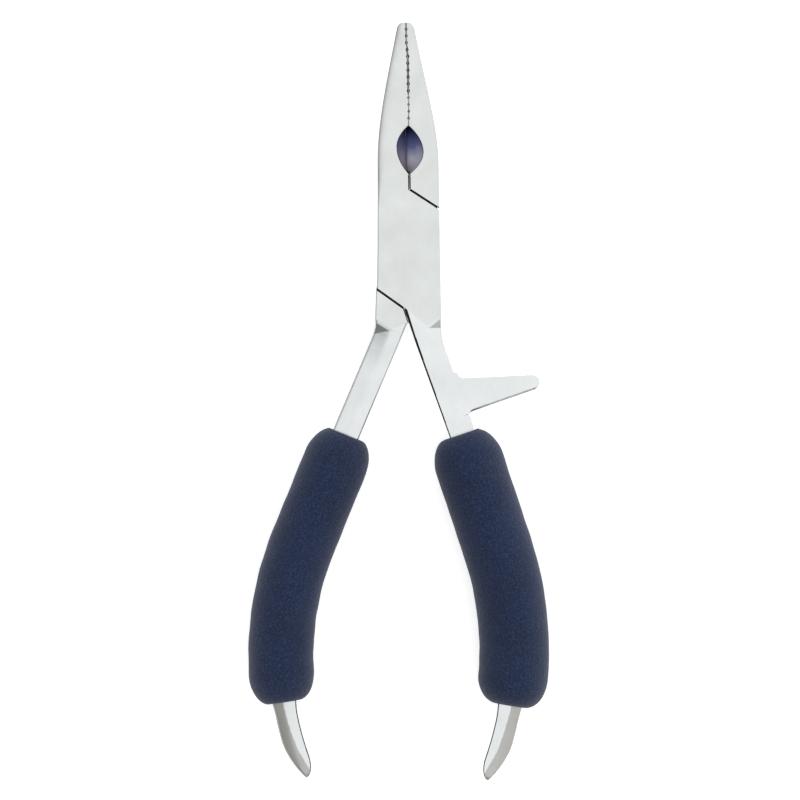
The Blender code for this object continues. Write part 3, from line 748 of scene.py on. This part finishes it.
def pivot_pin(look):
    """The pin, with a small chamfer and a centre mark on its flush back end."""
    back = -BOX_HALF
    front = BOX_HALF - PIN_COVER - 0.3
    profile = [(0.02, back + 0.30), (0.34, back + 0.02), (PIN_RADIUS - 0.14, back + 0.02),
               (PIN_RADIUS - 0.02, back + 0.14), (PIN_RADIUS - 0.02, front - 0.3),
               (PIN_RADIUS - 0.3, front), (0.02, front)]
    made = turned("pivot_pin_fine", profile)
    return dress(made, "pivot_pin", "box_side", look)


def fillet(x, start, length, rise):
    """Height of a quarter-ellipse fillet that dies away over a length."""
    near = np.clip((x - start) / length, 0.0, 1.0)
    return rise * (1.0 - np.sqrt(1.0 - (1.0 - near) ** 2))


def finger_spur(look):
    """The spur: a flat section carried outward, its lower edge sloping up to a round tip."""
    tip_x = SPUR_REACH - SPUR_TIP
    tip_y = SPUR_TOP[1] - SPUR_TIP
    edge_root = np.array(SPUR_LOW)
    x = np.concatenate([np.linspace(7.5, tip_x - 1.0, 70)[:-1],
                        tip_x - 1.0 + (SPUR_TIP + 0.99) * np.sin(np.linspace(0, math.pi / 2, 40))])
    bottom_slope = (tip_y - SPUR_TIP * 0.95 - edge_root[1]) / (tip_x + 0.5 - edge_root[0])
    low = edge_root[1] + bottom_slope * (x - edge_root[0])
    high = np.interp(x, (11.0, tip_x), SPUR_TOP)
    high = high + fillet(x, *SPUR_FILLET_TOP)
    low = low - fillet(x, *SPUR_FILLET_LOW)
    into = np.clip((x - tip_x) / SPUR_TIP, 0.0, 1.0)
    bow = SPUR_TIP * np.sqrt(np.maximum(1e-6, 1.0 - into ** 2))
    high = np.where(x > tip_x, tip_y + bow, high)
    low = np.where(x > tip_x, np.maximum(low, tip_y - bow), low)
    at_root, at_tip = SPUR_HALF
    half = at_root - (at_root - at_tip) * smooth_step((x - 12.5) / (SPUR_REACH - 12.5))
    share = 0.5 - 0.5 * np.cos(np.linspace(0.0, math.pi, 41))
    y = low[:, None] + (high - low)[:, None] * share
    height = np.maximum(high - low, 0.02)[:, None]
    soft_low = np.minimum(0.45, 0.4 * height)
    soft_high = np.minimum(0.25, 0.3 * height)
    drop = 0.85 * soft_low * (1.0 - np.clip((y - low[:, None]) / soft_low, 0.0, 1.0))
    drop += 0.20 * (1.0 - np.clip((high[:, None] - y) / soft_high, 0.0, 1.0)) ** 2
    end = np.clip((x - SPUR_REACH + 0.5) / 0.5, 0.0, 0.999)
    top = (half[:, None] - drop) * np.sqrt(1.0 - 0.5 * end[:, None] ** 2)
    section_y = np.concatenate([y, y[:, ::-1]], 1)
    section_z = np.concatenate([top, -top[:, ::-1]], 1)
    grid = np.stack([np.broadcast_to(x[:, None], section_y.shape), section_y, section_z], -1)
    return dress(loft("finger_spur_fine", grid), "finger_spur", "box_side", look)


# Grips

def grip(name, arm, node_name, body, look, seed):
    """A foam sleeve: a round section along the arm, domed ends and a bore that hugs the arm.

    One closed loop of rings runs along the outside, over the lower end, back through the bore
    and over the upper end.  Each dome is an arc of an ellipse.  The outside is round; the bore
    is a rounded rectangle.  A sum of slow waves gives the foam its slight unevenness.
    """
    start, end, low_dome, radius = arm["grip"]
    domes = []
    for crown, length in ((GRIP_CROWN["upper"], GRIP_DOME), (GRIP_CROWN["lower"], low_dome)):
        turn = np.linspace(math.asin((GRIP_MOUTH - crown) / (radius - crown)), math.pi / 2.0, 22)
        domes.append((length * (1.0 - np.cos(turn)), crown + (radius - crown) * np.sin(turn)))
    (upper_s, upper_r), (lower_s, lower_r) = domes
    middle = np.linspace(start + GRIP_DOME, end - low_dome, 120)[1:-1]
    outer_s = np.concatenate([start + upper_s, middle, end - lower_s[::-1]])
    outer_r = np.concatenate([upper_r, np.full(len(middle), radius), lower_r[::-1]])
    angle = np.linspace(0.0, 2.0 * math.pi, 120, endpoint=False)
    rng = np.random.default_rng(seed)
    wave = np.zeros((len(outer_s), len(angle)))
    for _ in range(26):
        length, lobes = rng.uniform(4.0, 22.0), rng.integers(0, 5)
        wave += rng.uniform(0.3, 1.0) * np.sin(
            2.0 * math.pi * outer_s[:, None] / length + lobes * angle + rng.uniform(0.0, 6.28))
    outer = outer_r[:, None] - 0.05 + 0.05 * np.tanh(0.35 * wave)
    outside = np.stack([outer * np.cos(angle), outer * np.sin(angle)], -1)

    c, s = np.cos(angle), np.sin(angle)
    reach = ((np.abs(c) / (arm["half"] + 0.04)) ** 5 + (np.abs(s) / (ARM_TOP + 0.04)) ** 5) ** -0.2
    hole = np.stack([reach * c, reach * s], -1)
    first, last = outer_s[0], outer_s[-1]
    rings, where = [outside], [outer_s]
    blends = (0.25, 0.5, 0.75, 0.93, 1.0)
    for blend in blends:
        rings.append(((1.0 - blend) * outside[-1] + blend * hole)[None])
        where.append(np.array([last + 0.15 - 0.4 * blend ** 3]))
    rings.append(np.broadcast_to(hole, (40, *hole.shape)))
    where.append(np.linspace(last - 0.8, first + 0.8, 40))
    for blend in blends[::-1]:
        rings.append(((1.0 - blend) * outside[0] + blend * hole)[None])
        where.append(np.array([first - 0.15 + 0.4 * blend ** 3]))
    ring = np.concatenate(rings)
    along = np.concatenate(where)
    centre, out = arm_line(arm, along)
    middle_shift = (arm_edge(arm, along, 1.0) - arm_edge(arm, along, -1.0)) / 2.0
    middle_shift[:len(outer_s)] = 0.0   # only the bore follows the arm off its centre line
    across = ring[..., :1] + middle_shift[:, None, None]
    xy = centre[:, None, :] + out[:, None, :] * across
    grid = np.concatenate([xy, ring[..., 1:]], -1)
    made = loft(name, grid, closed_rows=True)
    made.data.shade_smooth()
    made.data.materials.append(look)
    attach(made, body)
    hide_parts(node_name)
    return made


# Materials

def ground_steel(name, dark, pale, rough_low, rough_high, grain_scale):
    """Stainless steel, ground then brushed: soft reflections drawn out by fine grinding lines.

    The grain scale is in lines per metre, so 6500 is a line each 0.15 mm, and 260 makes each line
    about 4 mm long; the same scale each way gives the even dots of bead blasting.  The clouds,
    6 mm across, are the slow change of tone that handling leaves.
    """
    made, tree, shader = new_material(name)
    place = node(tree, "ShaderNodeTexCoord").outputs["Object"]
    lines = node(tree, "ShaderNodeMapping", Vector=place, Scale=grain_scale)
    grain = node(tree, "ShaderNodeTexNoise", Vector=lines.outputs["Vector"], Scale=1.0,
                 Detail=3.0, Roughness=0.6)
    cloud = node(tree, "ShaderNodeTexNoise", Vector=place, Scale=160.0, Detail=3.0)
    tint = ramp(tree, cloud.outputs["Fac"], [(0.30, dark), (0.72, pale)])
    tree.links.new(tint, shader.inputs["Base Color"])
    shader.inputs["Metallic"].default_value = 1.0
    rough = node(tree, "ShaderNodeMapRange", Value=grain.outputs["Fac"], From_Min=0.3,
                 From_Max=0.7, To_Min=rough_low, To_Max=rough_high)
    tree.links.new(rough.outputs["Result"], shader.inputs["Roughness"])
    bump = node(tree, "ShaderNodeBump", Strength=0.10, Distance=0.00004,
                Height=grain.outputs["Fac"])
    tree.links.new(bump.outputs["Normal"], shader.inputs["Normal"])
    return made


def painted_shade_steel():
    """Painted shade: a nearly black steel with a soft sheen, put on the milled parting faces where
    shade falls in the slit, slot, bore and recesses, and on the right arm's inner chamfer.

    Its tone is patchy at 1.4 mm, which keeps the dark lines from looking inked.
    """
    made, tree, shader = new_material("painted_shade_milled_steel")
    place = node(tree, "ShaderNodeTexCoord").outputs["Object"]
    shade_patches = node(tree, "ShaderNodeTexNoise", Vector=place, Scale=700.0, Detail=3.0)
    tree.links.new(ramp(tree, shade_patches.outputs["Fac"], [(0.3, "#2B2C2E"), (0.7, "#3C3D40")]),
                   shader.inputs["Base Color"])
    shader.inputs["Metallic"].default_value = 1.0
    shader.inputs["Roughness"].default_value = 0.55
    return made


def pin_steel():
    """Hardened pin ground flush: a little darker than the box, with fine turning rings."""
    made, tree, shader = new_material("ground_pin_steel")
    place = node(tree, "ShaderNodeTexCoord").outputs["Object"]
    rings = node(tree, "ShaderNodeTexWave", {"wave_type": "RINGS", "rings_direction": "Z"},
                 Vector=place, Scale=1400.0, Distortion=0.6)
    rough = node(tree, "ShaderNodeMapRange", Value=rings.outputs["Fac"], To_Min=0.22, To_Max=0.36)
    shader.inputs["Base Color"].default_value = colour("#B4B8B6")
    shader.inputs["Metallic"].default_value = 1.0
    tree.links.new(rough.outputs["Result"], shader.inputs["Roughness"])
    return made


def blued_steel(name, stops, start, end):
    """Tool steel with a heat tint: the oxide colour changes along the blade, from pale to blue.

    Noise moves the bands by up to 1.2 mm, as uneven heat does, and grinding lines lie across.
    """
    made, tree, shader = new_material(name)
    place = node(tree, "ShaderNodeTexCoord").outputs["Object"]
    parts = node(tree, "ShaderNodeSeparateXYZ", Vector=place)
    wobble = node(tree, "ShaderNodeTexNoise", Vector=place, Scale=420.0, Detail=2.0)
    shift = node(tree, "ShaderNodeMapRange", Value=wobble.outputs["Fac"], To_Min=-0.0012,
                 To_Max=0.0012)
    height = node(tree, "ShaderNodeMath", {"operation": "ADD"})
    tree.links.new(parts.outputs["Y"], height.inputs[0])
    tree.links.new(shift.outputs["Result"], height.inputs[1])
    share = node(tree, "ShaderNodeMapRange", Value=height.outputs[0], From_Min=start * MM,
                 From_Max=end * MM)
    tree.links.new(ramp(tree, share.outputs["Result"], stops), shader.inputs["Base Color"])
    shader.inputs["Metallic"].default_value = 1.0
    shader.inputs["Roughness"].default_value = 0.5
    lines = node(tree, "ShaderNodeMapping", Vector=place, Scale=(900.0, 9000.0, 900.0))
    grain = node(tree, "ShaderNodeTexNoise", Vector=lines.outputs["Vector"], Scale=1.0)
    bump = node(tree, "ShaderNodeBump", Strength=0.2, Distance=0.00003,
                Height=grain.outputs["Fac"])
    tree.links.new(bump.outputs["Normal"], shader.inputs["Normal"])
    return made


def navy_foam():
    """Closed-cell rubber foam, dyed navy: matt, with fine open pores cut by the skinning.

    Real cells are finer than a render shows, so they are drawn at about 0.5 mm, with a speckle of
    0.4 mm.  The broad patches, 11 mm across, are uneven dye.
    """
    made, tree, shader = new_material("navy_closed_cell_foam")
    place = node(tree, "ShaderNodeTexCoord").outputs["Object"]
    cells = node(tree, "ShaderNodeTexVoronoi", Vector=place, Scale=1900.0, Randomness=1.0)
    fine = node(tree, "ShaderNodeTexNoise", Vector=place, Scale=2600.0, Detail=4.0,
                Roughness=0.7)
    cloud = node(tree, "ShaderNodeTexNoise", Vector=place, Scale=90.0, Detail=3.0)
    speckle = ramp(tree, fine.outputs["Fac"],
                   [(0.36, "#0A1226"), (0.50, "#17233D"), (0.62, "#303F60")])
    broad = ramp(tree, cloud.outputs["Fac"], [(0.3, "#152038"), (0.7, "#1C2947")])
    mixed = node(tree, "ShaderNodeMix", {"data_type": "RGBA"}, Factor=0.55)
    tree.links.new(broad, mixed.inputs[6])
    tree.links.new(speckle, mixed.inputs[7])
    tree.links.new(mixed.outputs[2], shader.inputs["Base Color"])
    shader.inputs["Roughness"].default_value = 0.92
    shader.inputs["Specular IOR Level"].default_value = 0.12
    shader.inputs["Sheen Weight"].default_value = 0.15
    shader.inputs["Sheen Roughness"].default_value = 0.6
    pits = node(tree, "ShaderNodeBump", Strength=0.55, Distance=0.00012,
                Height=cells.outputs["Distance"])
    dust = node(tree, "ShaderNodeBump", Strength=0.35, Distance=0.00006,
                Height=fine.outputs["Fac"], Normal=pits.outputs["Normal"])
    tree.links.new(dust.outputs["Normal"], shader.inputs["Normal"])
    return made


# Studio

def studio():
    """A lit white acrylic table under the grips and a soft cap of light above, dim at the sides."""
    lowest = CAD_BOUNDS[0].z - 0.05 * MM
    bpy.ops.mesh.primitive_plane_add(size=6.0, location=(0.0, 0.0, lowest))
    floor = bpy.context.object
    floor.name = "floor"
    made, tree, shader = new_material("backlit_opal_acrylic")
    place = node(tree, "ShaderNodeTexCoord").outputs["Object"]
    tooth = node(tree, "ShaderNodeTexNoise", Vector=place, Scale=900.0)
    tree.links.new(ramp(tree, tooth.outputs["Fac"], [(0.3, "#F6F6F5"), (0.7, "#FAFAF9")]),
                   shader.inputs["Base Color"])
    shader.inputs["Roughness"].default_value = 0.9
    shader.inputs["Specular IOR Level"].default_value = 0.1
    shader.inputs["Emission Color"].default_value = (1.0, 1.0, 1.0, 1.0)
    shader.inputs["Emission Strength"].default_value = 0.45
    floor.data.materials.append(made)

    world = bpy.data.worlds.new("studio")
    bpy.context.scene.world = world
    world.use_nodes = True
    tree = world.node_tree
    sky = node(tree, "ShaderNodeTexCoord").outputs["Generated"]
    toward = node(tree, "ShaderNodeVectorMath", {"operation": "DOT_PRODUCT"})
    tree.links.new(sky, toward.inputs[0])
    toward.inputs[1].default_value = Vector((0.35, 0.30, 0.89)).normalized()
    glow = node(tree, "ShaderNodeMapRange", {"interpolation_type": "SMOOTHSTEP"},
                Value=toward.outputs["Value"], From_Min=-0.35, From_Max=0.85, To_Min=0.06,
                To_Max=1.36)
    back = tree.nodes["Background"]
    back.inputs["Color"].default_value = (1.0, 1.0, 1.0, 1.0)
    tree.links.new(glow.outputs["Result"], back.inputs["Strength"])


def camera():
    """A long lens straight above, turned by one degree."""
    data = bpy.data.cameras.new("camera")
    data.sensor_width = 36.0
    data.lens = data.sensor_width * EYE_DISTANCE / VIEW_WIDTH
    eye = bpy.data.objects.new("camera", data)
    eye.location = Vector((*VIEW_MIDDLE, MIDDLE + BOX_HALF + EYE_DISTANCE)) * MM
    eye.rotation_euler = (0.0, 0.0, -math.radians(VIEW_TURN))
    data.clip_start, data.clip_end = 0.01, 20.0
    bpy.context.scene.collection.objects.link(eye)
    bpy.context.scene.camera = eye


def main():
    """Build the studio and every piece."""
    camera()
    studio()
    bpy.context.scene.view_settings.view_transform = "Standard"
    satin = ground_steel("satin_ground_stainless_steel", "#BFC2C1", "#C8CBCA", 0.27, 0.38,
                         (6500.0, 260.0, 6500.0))
    polished = ground_steel("brushed_bright_stainless_steel", "#C6C9C9", "#CED1D1", 0.24, 0.33,
                            (900.0, 260.0, 900.0))
    # Painted shade: nearly black steel for faces in the slit, slot, bore and recesses and the right
    # arm's inner chamfer.
    painted_shade = painted_shade_steel()
    # Painted shade for the tails' outer halves: a darker steel, with a rougher finish.
    tail_painted_shade = ground_steel("tail_painted_shade_rough_steel", "#A6A5A2", "#B0AFAC", 0.42, 0.52,
                           (2500.0, 2500.0, 2500.0))
    arm_looks = (polished, painted_shade, tail_painted_shade)
    box_lever(satin, painted_shade, arm_looks)
    tongue_lever(satin, painted_shade, arm_looks)
    finger_spur(polished)
    pivot_pin(pin_steel())
    # Both blades go from pale to blue along their length, as heat tint does. The left blade's
    # darker stops are painted shade, and the right blade's near-white start is painted light.
    left_tint_painted_shade = blued_steel("heat_tint_painted_shade_blade_left",
                            [(0.0, "#8E8890"), (0.45, "#8C8898"), (0.8, "#6C6A88"),
                             (1.0, "#3C3C5C")], CUTTER_LOW, CUTTER_HIGH)
    right_tint_painted_light = blued_steel("heat_tint_painted_light_blade_right",
                             [(0.0, "#F0EAEA"), (0.3, "#DCDCE2"), (0.6, "#7C86B0"),
                              (1.0, "#2E3460")], CUTTER_LOW, CUTTER_HIGH)
    cutter_blade("cutter_blade_left", -1.0, left_tint_painted_shade, "box_side")
    cutter_blade("cutter_blade_right", 1.0, right_tint_painted_light, "tongue_side")
    foam = navy_foam()
    grip("left_foam_sleeve", LEFT, "grip_left", "tongue_side", foam, 3)
    grip("right_foam_sleeve", RIGHT, "grip_right", "box_side", foam, 8)
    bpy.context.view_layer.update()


main()
